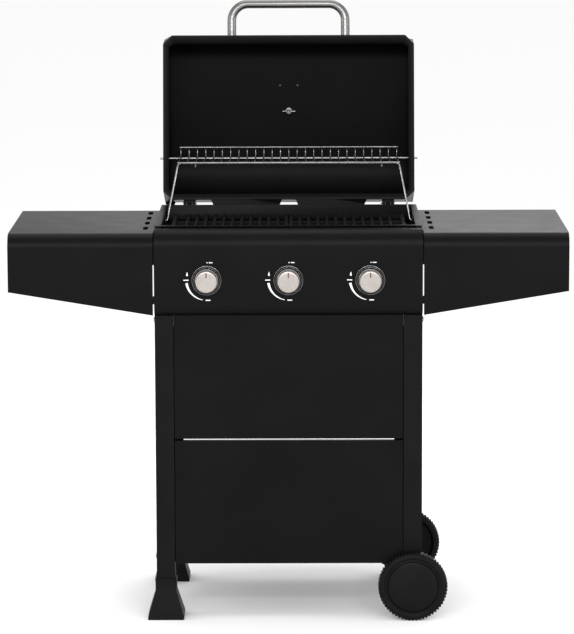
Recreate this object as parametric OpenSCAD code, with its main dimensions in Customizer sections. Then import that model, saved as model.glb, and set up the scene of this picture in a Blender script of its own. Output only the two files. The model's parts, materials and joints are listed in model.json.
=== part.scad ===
// Three-burner gas barbecue grill on a two-wheel cart, lid open.
// Millimetres, X to the right, Y to the rear, Z up. The floor is Z = 0.

/* [Overall] */
// Width over both side shelves
overall_w = 1200; // [1000:10:1500]
// Height of the side shelf tops above the floor
shelf_top_z = 843; // [780:1:950]
// Depth of the side shelves, front to rear
shelf_depth = 420; // [400:5:480]
// Width of the control panel
panel_w = 575; // [560:1:640]
// Sheet metal thickness
sheet = 1.5; // [1:0.1:2]
// Gap between pieces that move past each other
gap = 0.5; // [0.4:0.1:1]
// Radial clearance of a shaft in its hole
fit = 0.05; // [0.02:0.01:0.08]

/* [Cart] */
// Side of the square leg tubes
leg_w = 40; // [30:1:45]
// Distance of the legs behind the panel face
leg_setback = 15; // [12:1:25]
// Distance from front leg to rear leg, centre to centre
leg_pitch_y = 364; // [340:2:380]
// Height of the lower edge of the front panels
cart_bottom_z = 121; // [100:1:180]
// Height of the slot between the two front panels
panel_slot_z = 394; // [300:1:500]
// Width of that slot
panel_slot = 4; // [2:0.5:8]
// Side of the square foot base
foot_w = 78; // [60:1:90]
// Height of a foot
foot_h = 88; // [70:1:110]
// Side of the cross rails
rail = 25; // [20:1:30]

/* [Wheels] */
// Wheel diameter
wheel_d = 150; // [120:2:180]
// Wheel width
wheel_w = 31; // [24:1:40]
// Axle diameter
axle_d = 10; // [8:0.5:14]

/* [Control panel] */
// Height of the flat front face and its rounded edges
panel_h = 185; // [170:1:220]
// Radius of the upper front edge
panel_nose_r = 36; // [25:1:40]
// Radius of the lower front edge
panel_chin_r = 24; // [15:1:30]
// Height of the panel top above the shelf tops
panel_rise = 8; // [2:1:12]
// Distance between neighbouring knobs
knob_pitch = 175; // [140:1:180]
// Height of the knob axes below the panel top
knob_drop = 107; // [95:1:115]
// Knob diameter
knob_d = 50; // [40:1:54]
// Distance that a knob stands out from the panel
knob_reach = 32; // [24:1:40]
// Travel of a knob when pushed in
knob_push = 3.5; // [2:0.5:4]
// Outer diameter of the ring round a knob
bezel_d = 64; // [60:1:72]
// Valve stem diameter
stem_d = 8; // [6:0.5:9]

/* [Side shelves] */
// Gap between a shelf and the control panel
shelf_gap = 2.5; // [2:0.5:6]
// Radius of the upper front edge
shelf_nose_r = 30; // [20:1:36]
// Height of the outer side of the shelf
shelf_side_h = 124; // [90:1:140]
// Height of the front face where it meets the panel
shelf_inner_h = 175; // [145:1:185]
// Length of a hanging slot
slot_len = 50; // [30:1:60]
// Width of a hanging slot
slot_w = 10.5; // [6:0.5:14]

/* [Firebox] */
// Outer width of the firebox walls
box_w = 550; // [540:1:560]
// Distance from the panel face to the front wall
box_front = 58; // [56:1:66]
// Distance from the panel face to the rear wall's outside
box_rear = 424; // [410:1:440]
// Depth of the firebox
box_h = 167; // [155:1:175]
// Width of the rim flange on the two sides and the front
rim_w = 12; // [8:1:14]
// Height of the rim above the shelf tops
box_rise = 12.5; // [10:0.5:16]
// Thickness of a cooking grate
grate_t = 12; // [8:1:16]
// Distance between neighbouring grate bars
grate_pitch = 20; // [16:0.5:24]
// Width of a grate bar
grate_bar = 7; // [5:0.5:9]
// Depth of the grates' top below the rim
grate_drop = 20; // [16:1:30]
// Burner tube diameter
burner_d = 25; // [20:1:30]

/* [Lid] */
// Lid width
lid_w = 567; // [550:1:575]
// Lid depth, front to rear, when closed
lid_depth = 372; // [360:1:376]
// Height of the lid's highest point above its rim
lid_h = 190; // [175:1:220]
// Cut across the lid's four upright corners
lid_chamfer = 20; // [10:1:30]
// Width of the flange round the lid's mouth, at the sides and the rear
lid_flange = 13; // [8:1:18]
// Width of that flange at the front
lid_front_flange = 20; // [10:1:24]
// Slope of the lid's roof towards the front
roof_slope = 14; // [8:1:18]
// Angle that the lid stands open from closed
lid_open = 100; // [100:1:100]
// Distance between the two handle feet
handle_w = 258; // [200:2:320]
// Handle tube diameter
handle_d = 20; // [16:1:24]
// Reach of the handle from the lid
handle_reach = 87; // [75:1:100]
// Thermometer case diameter
gauge_d = 66; // [50:1:75]

/* [Warming rack] */
// Half width of the rack at its side bars
rack_half_w = 247; // [210:1:250]
// Distance from the pivot bar to the front bar
rack_depth = 152; // [150:1:160]
// Height of the rack's rear fence
fence_h = 21; // [15:1:24]
// Distance between rack wires
rack_pitch = 18.8; // [15:0.2:24]
// Thickness of a rack wire
wire_d = 3; // [2.5:0.1:3.5]
// Thickness of the pivot bar
pivot_d = 5; // [4.6:0.1:5.2]
// Thickness of the support wire
support_d = 4; // [3.6:0.1:4.2]

/* [Hidden] */
$fn = 48;
eps = 0.01;

// Hinge of the lid, from the rear wall of the firebox and its rim.
box_top = shelf_top_z + box_rise;
hinge_back = 6;             // pin axis behind the firebox's rear wall
hinge_rise = 3.5;           // pin axis above the firebox's rim
pin_d = 5;
hinge_x = 224;
hinge_leaf_w = 27;
knuckle_r = 5;
lid_rim = -3;               // lid's rim, below the pin axis
lid_rear = -hinge_back - 0.6;   // lid's rear edge, in front of the pin axis
lid_front = lid_rear - lid_depth;
tab_reach = 13.4;           // end of a lid stop, behind the pin axis

// Profile of the lid: a rear arc, a sloping roof and a front arc.
rear_r = 85;
front_r = 55;
rear_c = [lid_rear - rear_r, lid_rim + lid_h - rear_r];
roof_n = [-sin(roof_slope), cos(roof_slope)];
roof_d = [-cos(roof_slope), -sin(roof_slope)];
roof_p = rear_c + rear_r * roof_n;
front_cy = lid_front + front_r;
front_cz = (rear_c * roof_n + rear_r - front_r - front_cy * roof_n[0]) / roof_n[1];
side_r = 30;                // rounding between the roof and the sides

// Places on the lid, from its hinge.
handle_z = 55;
gauge_y = -222;
gauge_t = 11;
badge_y = -279;

// Everything is centred front to rear on the open lid and the knobs.
open_back = box_rear + hinge_back + (lid_rim + lid_h + gauge_t) * sin(lid_open) - 4;
face_y = (knob_reach - open_back) / 2;
hinge_y = face_y + box_rear + hinge_back;
hinge_z = box_top + hinge_rise;

// Control panel, valves and burners.
panel_top = shelf_top_z + panel_rise;
panel_bottom = panel_top - panel_h;
knob_z = panel_top - knob_drop;
knob_xs = [-knob_pitch, 0, knob_pitch];
bezel_r = max(bezel_d / 2, knob_d / 2 + 5);
valve_r = 10;
valve_front = 8;            // front face of a valve behind the panel face
valve_len = 34;
sleeve_r = 7;
manifold_r = 8;
manifold_y = face_y + 44;
manifold_z = knob_z - 27;
inlet_x = 225;
inlet_r = 7.9;
inlet_len = 14;

// Hanging slots, from the first behind the panel face.
slot_inset = 19;
slot_first = face_y + 107;
slot_pitch = (shelf_depth - 157) / 3;

// Firebox and what hangs in it.
wall_front = face_y + box_front;
wall_rear = face_y + box_rear;
wall_x = box_w / 2;
box_bottom = box_top - box_h;
taper_z = box_bottom + 36;
grate_top = box_top - grate_drop;
ledge_z = grate_top - grate_t - gap;
ledge_w = 12;
tamer_z = ledge_z - 44;
tamer_w = 92;
tamer_h = 26;
burner_end = wall_rear - 26;

// Cart.
leg_top = panel_bottom;
leg_x = panel_w / 2 - leg_w / 2;
leg_y = [face_y + leg_setback + leg_w / 2, face_y + leg_setback + leg_w / 2 + leg_pitch_y];
axle_z = wheel_d / 2;
front_wheel_y = leg_y[0] - leg_w / 2 - 2 - wheel_w;
rear_wheel_y = leg_y[1] + leg_w / 2 + 2;

// Warming rack linkage, with the lid open: pivot bar, support bar and support pivot.
rack_a = [face_y + 475, box_top + 99.5];
rack_b = [face_y + 350, box_top + 101.5];
support_o = [face_y + 309, box_top - 21.5];
rack_tilt = atan2(rack_b[1] - rack_a[1], rack_a[0] - rack_b[0]);
wire_rise = (pivot_d + wire_d) / 2 + 0.1;
support_top_x = 246;
support_foot_x = wall_x - 5;
bar_near = norm(rack_a - rack_b);   // support bar from the pivot bar, lid open
bar_far = bar_near + 18.5;          // and with the lid closed

black = "#1d1d1e";
soft_black = "#2a2a2b";
steel = "#c4c6c8";
dark_steel = "#6c6e70";

// ---------- helpers ----------

// A round bar from point a to point b.
module rod(a, b, r) {
    v = b - a;
    translate(a)
        rotate([0, acos(v[2] / norm(v)), atan2(v[1], v[0])])
            cylinder(h = norm(v), r = r);
}

// A box given by its lowest and highest corners.
module block(low, high) {
    translate(low) cube(high - low);
}

// A profile in Y and Z, drawn out along X from x0 to x1.
module along_x(x0, x1) {
    translate([x0, 0, 0])
        rotate([90, 0, 90])
            linear_extrude(height = x1 - x0) children();
}

// A profile in X and Z, drawn out along Y from y0 to y1.
module along_y(y0, y1) {
    translate([0, y1, 0])
        rotate([90, 0, 0])
            linear_extrude(height = y1 - y0) children();
}

// A cylinder along Y from y0 to y1.
module turned_y(x, z, y0, y1, r) {
    translate([x, y0, z]) rotate([-90, 0, 0]) cylinder(h = y1 - y0, r = r);
}

// A cylinder along X from x0 to x1.
module turned_x(y, z, x0, x1, r) {
    translate([x0, y, z]) rotate([0, 90, 0]) cylinder(h = x1 - x0, r = r);
}

// The same piece on the left and on the right.
module both_sides() {
    children();
    mirror([1, 0, 0]) children();
}

function arc(c, r, a0, a1, n) =
    [for (i = [0:n]) c + r * [cos(a0 + (a1 - a0) * i / n), sin(a0 + (a1 - a0) * i / n)]];

// Lid pieces are drawn closed, from the hinge axis, and swung open here.
module on_lid() {
    translate([0, hinge_y, hinge_z]) rotate([-lid_open, 0, 0]) children();
}

// A place on the lid's roof: X and Y across the surface, Z straight out of it.
module on_roof(y) {
    z = roof_p[1] + (y - roof_p[0]) * tan(roof_slope);
    translate([0, y, z]) rotate([roof_slope, 0, 0]) children();
}

// ---------- lid ----------

lid_outline = concat(
    [[lid_rear, lid_rim]],
    arc(rear_c, rear_r, 0, 90 + roof_slope, 20),
    arc([front_cy, front_cz], front_r, 90 + roof_slope, 180, 12),
    [[lid_front, lid_rim]]
);

// The lid's solid form, made smaller all round by inset.
module lid_form(inset) {
    half = lid_w / 2 - inset;
    cut = lid_chamfer - inset * (2 - sqrt(2));
    y0 = lid_front + inset;
    y1 = lid_rear - inset;
    intersection() {
        along_x(-half, half) offset(delta = -inset) polygon(lid_outline);
        translate([0, 0, lid_rim - 1])
            linear_extrude(height = lid_h + 2)
                polygon([
                    [-half + cut, y0], [half - cut, y0], [half, y0 + cut], [half, y1 - cut],
                    [half - cut, y1], [-half + cut, y1], [-half, y1 - cut], [-half, y0 + cut]
                ]);
        along_y(y0 - 1, y1 + 1) lid_front_view(half, side_r - inset, inset);
    }
}

// Seen from the front, the roof rounds over into the sides.
module lid_front_view(half, r, inset) {
    top = lid_rim + lid_h - inset;
    translate([-half, lid_rim - 1]) square([2 * half, top - r - lid_rim + 1]);
    translate([-half + r, top - r - 1]) square([2 * (half - r), r + 1]);
    for (s = [-1, 1])
        translate([s * (half - r), top - r]) circle(r = r);
}

// The inside of the lid, opened through the mouth up to its flange.
module lid_hollow() {
    lid_form(sheet);
    translate([0, 0, lid_rim - 1]) lid_mouth(lid_flange, lid_front_flange, sheet + 2);
    translate([0, 0, lid_rim + sheet]) lid_mouth(sheet, sheet, sheet);
}

module lid_mouth(inset, front_inset, height) {
    half = lid_w / 2 - inset;
    cut = lid_chamfer - inset * (2 - sqrt(2));
    y0 = lid_front + front_inset;
    y1 = lid_rear - inset;
    linear_extrude(height = height)
        polygon([
            [-half + cut, y0], [half - cut, y0], [half, y0 + cut], [half, y1 - cut],
            [half - cut, y1], [-half + cut, y1], [-half, y1 - cut], [-half, y0 + cut]
        ]);
}

// Tabs on the rear of the rim that meet the firebox when the lid is open.
module lid_stop_tabs() {
    for (s = [-1, 1])
        translate([s * 95.5, 0, lid_rim])
            linear_extrude(height = sheet)
                polygon([
                    [-81, lid_rear - 2], [81, lid_rear - 2],
                    [71, tab_reach], [-71, tab_reach]
                ]);
}

module lid_shell() {
    color(black)
        on_lid()
            difference() {
                union() {
                    lid_form(0);
                    lid_stop_tabs();
                }
                lid_hollow();
                rack_pivot_holes();
                for (s = [-1, 1])
                    turned_y(s * handle_w / 2, handle_z, lid_front - 5, lid_front + 5, 3.1);
                on_roof(gauge_y) cylinder(h = 20, r = 4.1, center = true);
                for (s = [-1, 1])
                    on_roof(badge_y) translate([s * 20, 0, 0])
                        cylinder(h = 20, r = 1.6, center = true);
            }
}

// The rack's pivot as the closed lid has it, from the hinge axis.
function closed_yz(p) =
    let (v = p - [hinge_y, hinge_z])
    [v[0] * cos(lid_open) - v[1] * sin(lid_open), v[0] * sin(lid_open) + v[1] * cos(lid_open)];

module rack_pivot_holes() {
    p = closed_yz(rack_a);
    turned_x(p[0], p[1], -lid_w, lid_w, pivot_d / 2 + fit);
}

module lid_hinge_leaves() {
    color(black)
        on_lid()
            both_sides()
                difference() {
                    union() {
                        block([hinge_x - hinge_leaf_w / 2, lid_rear, lid_rim + 7],
                            [hinge_x + hinge_leaf_w / 2, lid_rear + 2, 34]);
                        block([hinge_x - 6, lid_rear, lid_rim + 1], [hinge_x + 6, 0, 10]);
                        turned_x(0, 0, hinge_x - 6, hinge_x + 6, knuckle_r);
                    }
                    turned_x(0, 0, hinge_x - 7, hinge_x + 7, pin_d / 2 + fit);
                }
}

module lid_handle() {
    r = handle_d / 2;
    bend = 38;
    wall = lid_front - 4;
    bar_y = lid_front - handle_reach + r;
    color(steel)
        on_lid()
            difference() {
                union() {
                    both_sides() {
                        turned_y(handle_w / 2, handle_z, bar_y + bend, wall, r);
                        translate([handle_w / 2 - bend, bar_y + bend, handle_z])
                            rotate([0, 0, -90])
                                rotate_extrude(angle = 90) translate([bend, 0]) circle(r = r);
                    }
                    turned_x(bar_y, handle_z, -handle_w / 2 + bend, handle_w / 2 - bend, r);
                }
                for (s = [-1, 1])
                    turned_y(s * handle_w / 2, handle_z, wall - 18, wall + 1, 3);
            }
}

module handle_washers() {
    color(dark_steel)
        on_lid()
            both_sides()
                difference() {
                    turned_y(handle_w / 2, handle_z, lid_front - 4, lid_front, handle_d / 2 + 3);
                    turned_y(handle_w / 2, handle_z, lid_front - 5, lid_front + 1, 3.1);
                }
}

module handle_screws() {
    color(dark_steel)
        on_lid()
            both_sides() {
                turned_y(handle_w / 2, handle_z, lid_front - 21, lid_front + sheet + 1, 3);
                turned_y(handle_w / 2, handle_z, lid_front + sheet, lid_front + sheet + 5, 5.5);
            }
}

module badge_plate() {
    color(steel)
        on_lid()
            on_roof(badge_y) {
                block([-34, -11, 0.1], [34, 11, 1.6]);
                for (s = [-1, 1])
                    translate([s * 20, 0, -6]) cylinder(h = 7, r = 1.5);
            }
}

module thermometer_case() {
    r = gauge_d / 2;
    color(steel)
        on_lid()
            on_roof(gauge_y) {
                difference() {
                    translate([0, 0, 0.1]) cylinder(h = gauge_t, r = r);
                    translate([0, 0, 3]) cylinder(h = gauge_t, r = r - 3);
                }
                translate([0, 0, -34]) cylinder(h = 35, r = 4);
            }
}

module thermometer_dial() {
    color("white")
        on_lid()
            on_roof(gauge_y)
                difference() {
                    translate([0, 0, 3]) cylinder(h = 1, r = gauge_d / 2 - 3);
                    translate([0, 0, 2]) cylinder(h = 3, r = 1.2);
                }
}

// The needle's axis stands on the roof through the middle of the dial.
module thermometer_needle() {
    color("firebrick")
        on_lid()
            on_roof(gauge_y) {
                translate([0, 0, 4.4]) cylinder(h = 1.2, r = 3);
                rotate([0, 0, 135]) block([-0.9, -8, 4.4], [0.9, gauge_d / 2 - 8, 5.2]);
            }
}

module thermometer_lens() {
    color([0.85, 0.9, 0.92, 0.35])
        on_lid()
            on_roof(gauge_y)
                translate([0, 0, 7.5]) cylinder(h = 2, r = gauge_d / 2 - 3);
}

module thermometer_nut() {
    color(steel)
        on_lid()
            on_roof(gauge_y)
                difference() {
                    union() {
                        translate([0, 0, -sheet - 8]) cylinder(h = 7.5, r = 7);
                        block([-15, -1.2, -sheet - 16], [-5, 1.2, -sheet - 3]);
                        block([5, -1.2, -sheet - 16], [15, 1.2, -sheet - 3]);
                    }
                    translate([0, 0, -30]) cylinder(h = 40, r = 4);
                }
}

// ---------- warming rack ----------

// From the pivot bar, with -Y along the rack to its front.
module on_rack() {
    translate([0, rack_a[0], rack_a[1]]) rotate([-rack_tilt, 0, 0]) children();
}

// A long loop that holds the support wire as it slides under the rack.
module rack_hook(x) {
    r = wire_d / 2;
    half = support_d / 2 + gap;
    drop = -half - r;
    near = -bar_near + half + r;
    far = -bar_far - half - r;
    for (y = [near, far])
        rod([x, y, wire_rise], [x, y, drop], r * 0.95);
    rod([x, near + r * 1.2, drop], [x, far - r * 1.2, drop], r);
}

// A wire of the rack with its upright in the fence.
module rack_wire(x, r) {
    rod([x, r / 3, wire_rise], [x, -rack_depth, wire_rise], r);
    rod([x, 0, 0], [x, 0, wire_rise + fence_h], r * 0.9);
}

module warming_rack() {
    r = wire_d / 2;
    n = floor(rack_half_w / rack_pitch - 0.1);
    pivot_x = lid_w / 2 + 8;
    color(steel)
        on_rack() {
            turned_x(0, 0, -pivot_x, pivot_x, pivot_d / 2);
            turned_x(0, wire_rise + fence_h, -rack_half_w, rack_half_w, r);
            turned_x(-rack_depth, wire_rise, -rack_half_w, rack_half_w, r);
            for (i = [-n:n])
                rack_wire(i * rack_pitch, r * 0.9);
            for (s = [-1, 1])
                rack_hook(s * (n - 2) * rack_pitch);
        }
}

module rack_support_wire() {
    r = support_d / 2;
    top = [support_top_x, rack_b[0], rack_b[1]];
    foot = [support_foot_x, support_o[0], support_o[1]];
    color(steel) {
        turned_x(rack_b[0], rack_b[1], -support_top_x, support_top_x, r);
        both_sides() {
            translate(top) sphere(r = r * 1.06);
            rod(top, foot, r);
            translate(foot) sphere(r = r * 1.06);
            turned_x(foot[1], foot[2], foot[0], wall_x + 3, r);
        }
    }
}

// ---------- firebox ----------

module firebox_section() {
    polygon([
        [wall_front, box_top], [wall_front, taper_z], [wall_front + 40, box_bottom],
        [wall_rear - 40, box_bottom], [wall_rear, taper_z], [wall_rear, box_top]
    ]);
}

module firebox_ledge(z) {
    half = wall_x - sheet / 2;
    block([-half, wall_front + sheet / 2, z - sheet], [half, wall_front + ledge_w, z]);
    block([-half, wall_rear - ledge_w, z - sheet], [half, wall_rear - sheet / 2, z]);
}

module firebox() {
    flange_x = wall_x + rim_w;
    flange_y = wall_front - rim_w;
    color(black)
        difference() {
            union() {
                difference() {
                    union() {
                        along_x(-wall_x, wall_x) firebox_section();
                        block([-flange_x, flange_y, box_top - sheet], [flange_x, wall_rear, box_top]);
                    }
                    along_x(-wall_x + sheet, wall_x - sheet) offset(delta = -sheet) firebox_section();
                    block([-wall_x + sheet, wall_front + sheet, box_top - 10],
                        [wall_x - sheet, wall_rear - sheet, box_top + 1]);
                }
                firebox_ledge(ledge_z);
                firebox_ledge(tamer_z);
            }
            for (x = knob_xs) {
                turned_y(x, knob_z, wall_front - 1, wall_front + 5, burner_d / 2 + gap);
                turned_y(x + 24, knob_z + 6, wall_front - 1, wall_front + 5, 3 + gap);
            }
            both_sides()
                turned_x(support_o[0], support_o[1], wall_x - 4, wall_x + 4, support_d / 2 + fit);
            block([-30, wall_front + 110, box_bottom - 1], [30, wall_rear - 110, box_bottom + 3]);
        }
}

module firebox_cradle() {
    color(soft_black)
        both_sides() {
            block([wall_x, face_y + 60, leg_top + 2], [wall_x + 2, wall_rear - 9, box_top - 90]);
            block([wall_x - 25, face_y + 60, leg_top],
                [leg_x + leg_w / 2 - 0.5, wall_rear - 9, leg_top + 2]);
        }
}

module firebox_hinge_brackets() {
    color(soft_black)
        both_sides()
            difference() {
                union() {
                    block([hinge_x - 13.5, wall_rear, box_top - 35],
                        [hinge_x + 13.5, wall_rear + 2, box_top - 4]);
                    for (x = [hinge_x - 13.5, hinge_x + 6.5]) {
                        block([x, wall_rear, box_top - 12], [x + 7, hinge_y, hinge_z]);
                        turned_x(hinge_y, hinge_z, x, x + 7, knuckle_r);
                    }
                }
                turned_x(hinge_y, hinge_z, hinge_x - 15, hinge_x + 15, pin_d / 2);
            }
}

module hinge_pins() {
    color(steel)
        both_sides() {
            turned_x(hinge_y, hinge_z, hinge_x - 15, hinge_x + 15, pin_d / 2);
            turned_x(hinge_y, hinge_z, hinge_x - 16.5, hinge_x - 14, pin_d / 2 + 1.5);
        }
}

// One of the two grates; s is -1 on the left and 1 on the right.
module cooking_grate(s) {
    y0 = wall_front + sheet + 2;
    y1 = wall_rear - sheet - 2;
    outer = support_foot_x - support_d / 2 - 10;
    z0 = grate_top - grate_t;
    frame = 9;
    n = floor((outer - 1 - frame) / grate_pitch);
    color("#161616")
        for (m = [s < 0 ? 1 : 0])
            mirror([m, 0, 0])
                union() {
                    block([1, y0, z0], [1 + frame, y1, grate_top]);
                    block([outer - frame, y0, z0], [outer, y1, grate_top]);
                    for (i = [1:n - 1])
                        block([1 + i * grate_pitch, y0 + 1, z0 + 3],
                            [1 + i * grate_pitch + grate_bar, y1 - 1, grate_top]);
                    for (y = [y0, (2 * y0 + y1) / 3 - 4, (y0 + 2 * y1) / 3 - 4, y1 - 8])
                        block([1, y, z0], [outer, y + 8, grate_top - 2]);
                }
}

module left_grate() { cooking_grate(-1); }
module right_grate() { cooking_grate(1); }

module burner(x) {
    color(steel)
        difference() {
            turned_y(x, knob_z, face_y + 46, burner_end, burner_d / 2);
            turned_y(x, knob_z, face_y + 45, burner_end - 3, burner_d / 2 - sheet);
        }
}

module left_burner() { burner(knob_xs[0]); }
module middle_burner() { burner(knob_xs[1]); }
module right_burner() { burner(knob_xs[2]); }

// A folded steel roof over a burner, resting on the lower ledges.
module flame_tamer(x) {
    half = tamer_w / 2;
    t = sheet * 1.2;
    color(dark_steel)
        along_y(wall_front + sheet + 2, wall_rear - sheet - 2)
            polygon([
                [x - half, tamer_z], [x - half, tamer_z + 6], [x, tamer_z + 6 + tamer_h],
                [x + half, tamer_z + 6], [x + half, tamer_z], [x + half - t, tamer_z],
                [x + half - t, tamer_z + 5], [x, tamer_z + 5 + tamer_h - t],
                [x - half + t, tamer_z + 5], [x - half + t, tamer_z]
            ]);
}

module left_flame_tamer() { flame_tamer(knob_xs[0]); }
module middle_flame_tamer() { flame_tamer(knob_xs[1]); }
module right_flame_tamer() { flame_tamer(knob_xs[2]); }

// Carries the flame from burner to burner and holds up their rear ends.
module crossover_channel() {
    y = burner_end - 50;
    x = knob_pitch + 25;
    top = knob_z - burner_d / 2;
    floor_z = box_bottom + sheet;
    color(steel)
        difference() {
            block([-x, y, floor_z], [x, y + 24, top]);
            block([-x - 1, y + sheet, floor_z - 1], [x + 1, y + 24 - sheet, top - sheet]);
        }
}

// Ceramic electrodes beside the burners, each with its lead to the valve.
module igniters() {
    z = knob_z + 6;
    for (x = knob_xs) {
        color("white") turned_y(x + 24, z, wall_front - 6, wall_front + 30, 3);
        color(steel) {
            turned_y(x + 24, z, wall_front + 30, wall_front + 42, 1);
            rod([x + 24, wall_front + 42, z], [x + 15.5, wall_front + 46, z], 1);
        }
        color("firebrick")
            rod([x + 23, wall_front - 7, z], [x + valve_r + 1, face_y + 30, z], 1.2);
    }
}

tray_top = box_bottom - 1.5;
tray_h = 18;
tray_x = 95;

module grease_tray() {
    y0 = wall_front + 52;
    y1 = wall_rear - 42;
    color(steel) {
        difference() {
            union() {
                block([-tray_x, y0, tray_top - tray_h], [tray_x, y1, tray_top]);
                block([-tray_x - 6, y0, tray_top - sheet], [tray_x + 6, y1, tray_top]);
            }
            block([-tray_x + sheet, y0 + sheet, tray_top - tray_h + sheet],
                [tray_x - sheet, y1 - sheet, tray_top + 1]);
        }
        block([-35, y1, tray_top - tray_h], [35, y1 + 16, tray_top - tray_h + sheet]);
    }
}

module grease_tray_rails() {
    lip = tray_top - sheet - gap;
    x = tray_x + 6 + 1.5;
    color(soft_black)
        both_sides() {
            block([x, wall_front + 45, lip - sheet], [x + sheet, wall_rear - 45, box_bottom]);
            block([tray_x + 1.5, wall_front + 45, lip - sheet], [x, wall_rear - 45, lip]);
        }
}

// ---------- control panel ----------

module panel_section(inset) {
    nose = panel_nose_r - inset;
    chin = panel_chin_r - inset;
    nose_c = [face_y + panel_nose_r, panel_top - panel_nose_r];
    chin_c = [face_y + panel_chin_r, panel_bottom + panel_chin_r];
    back = face_y + 45 + inset;
    lip = face_y + 26 + (inset > 0 ? 30 : 0);
    intersection() {
        union() {
            translate(nose_c) circle(r = nose);
            translate(nose_c) square([back - nose_c[0], nose]);
            translate([face_y + inset, chin_c[1]])
                square([back - face_y - inset, nose_c[1] - chin_c[1]]);
        }
        translate([face_y, chin_c[1]]) square([back - face_y, panel_h]);
    }
    intersection() {
        union() {
            translate(chin_c) circle(r = chin);
            translate([chin_c[0], chin_c[1] - chin]) square([lip - chin_c[0], chin + eps]);
        }
        translate([face_y, panel_bottom]) square([lip - face_y, panel_chin_r + eps]);
    }
}

module control_panel() {
    color(black)
        difference() {
            along_x(-panel_w / 2, panel_w / 2) panel_section(0);
            along_x(-panel_w / 2 + sheet, panel_w / 2 - sheet) panel_section(sheet);
            for (x = knob_xs)
                turned_y(x, knob_z, face_y - 1, face_y + 3, stem_d / 2 + 1.5);
        }
}

module knob_bezels() {
    color(steel)
        for (x = knob_xs)
            translate([x, face_y, knob_z])
                rotate([90, 0, 0])
                    rotate_extrude()
                        polygon([
                            [knob_d / 2 + 2, 0], [bezel_r, 0], [bezel_r, 2],
                            [bezel_r - 1.5, 4], [knob_d / 2 + 3, 4], [knob_d / 2 + 2, 3]
                        ]);
}

module gas_manifold() {
    end = knob_pitch + 20;
    bottom = manifold_z - manifold_r - 8 - inlet_len;
    color(dark_steel)
        difference() {
            union() {
                turned_x(manifold_y, manifold_z, -end, inlet_x + 10, manifold_r);
                translate([inlet_x, manifold_y, bottom])
                    cylinder(h = manifold_z - bottom, r = manifold_r - 1.5);
                translate([inlet_x, manifold_y, bottom]) cylinder(h = inlet_len, r = inlet_r);
            }
            turned_x(manifold_y, manifold_z, -end + 3, inlet_x + 7, manifold_r - 2);
            translate([inlet_x, manifold_y, bottom - 1]) cylinder(h = 22, r = 4);
        }
}

module gas_valves() {
    color("#b08d3c")
        for (x = knob_xs)
            difference() {
                union() {
                    turned_y(x, knob_z, face_y + valve_front, face_y + valve_front + valve_len, valve_r);
                    turned_y(x, knob_z, face_y + valve_front + valve_len - 1, face_y + 52, 4);
                    block([x - 6, manifold_y - 14, manifold_z],
                        [x + 6, manifold_y, knob_z - valve_r + 2]);
                }
                turned_y(x, knob_z, face_y, face_y + valve_front + 20, sleeve_r + fit);
                turned_y(x, knob_z, face_y + 30, face_y + 60, 1);
                turned_x(manifold_y, manifold_z, x - 10, x + 10, manifold_r);
            }
}

// The sleeve slides in the valve with the stem, and the stem turns in it.
module valve_sleeve(x) {
    color("#b08d3c")
        difference() {
            turned_y(x, knob_z, face_y + valve_front + 2, face_y + valve_front + 12, sleeve_r);
            turned_y(x, knob_z, face_y, face_y + valve_front + 20, stem_d / 2 + fit);
        }
}

module left_valve_sleeve() { valve_sleeve(knob_xs[0]); }
module middle_valve_sleeve() { valve_sleeve(knob_xs[1]); }
module right_valve_sleeve() { valve_sleeve(knob_xs[2]); }

module valve_stem(x) {
    color(steel)
        turned_y(x, knob_z, face_y - knob_reach + 8, face_y + valve_front + 14, stem_d / 2);
}

module left_valve_stem() { valve_stem(knob_xs[0]); }
module middle_valve_stem() { valve_stem(knob_xs[1]); }
module right_valve_stem() { valve_stem(knob_xs[2]); }

module knob(x) {
    r = knob_d / 2;
    len = knob_reach - knob_push - 1;
    color("#b9b4aa")
        translate([x, face_y - knob_push - 1, knob_z])
            rotate([90, 0, 0])
                difference() {
                    rotate_extrude()
                        polygon([
                            [0, 0], [r, 0], [r, 4], [r - 1.5, 6],
                            [r - 2.5, len - 2.5], [r - 5, len], [0, len]
                        ]);
                    translate([0, 0, -1]) cylinder(h = len - 7, r = stem_d / 2);
                }
}

module left_knob() { knob(knob_xs[0]); }
module middle_knob() { knob(knob_xs[1]); }
module right_knob() { knob(knob_xs[2]); }

// ---------- side shelves ----------

module shelf_section(inset, bottom) {
    c = [face_y + shelf_nose_r, shelf_top_z - shelf_nose_r];
    r = shelf_nose_r - inset;
    back = face_y + shelf_depth - inset;
    translate(c) circle(r = r);
    translate([face_y + inset, bottom]) square([back - face_y - inset, c[1] - bottom]);
    translate(c) square([back - c[0], r]);
}

// The right shelf: a folded pan with a deeper front that tapers outwards.
module shelf() {
    x0 = panel_w / 2 + shelf_gap;
    x1 = overall_w / 2;
    low = shelf_top_z - shelf_side_h;
    color(black)
        difference() {
            union() {
                along_x(x0, x1) shelf_section(0, low);
                along_y(face_y, face_y + sheet)
                    polygon([
                        [x0, low + 5], [x1, low + 5], [x1, low], [x0, shelf_top_z - shelf_inner_h]
                    ]);
            }
            along_x(x0 - 1, x1 - sheet) shelf_section(sheet, low - 1);
            for (i = [0:3])
                hanging_slot(x0 + slot_inset, slot_first + i * slot_pitch);
        }
}

module hanging_slot(x, y) {
    reach = (slot_len - slot_w) / 2;
    for (s = [-1, 1])
        translate([x, y + s * reach, shelf_top_z - 5]) cylinder(h = 10, d = slot_w);
    block([x - slot_w / 2, y - reach, shelf_top_z - 5],
        [x + slot_w / 2, y + reach, shelf_top_z + 5]);
}

module left_shelf() { mirror([1, 0, 0]) shelf(); }
module right_shelf() { shelf(); }

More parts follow.
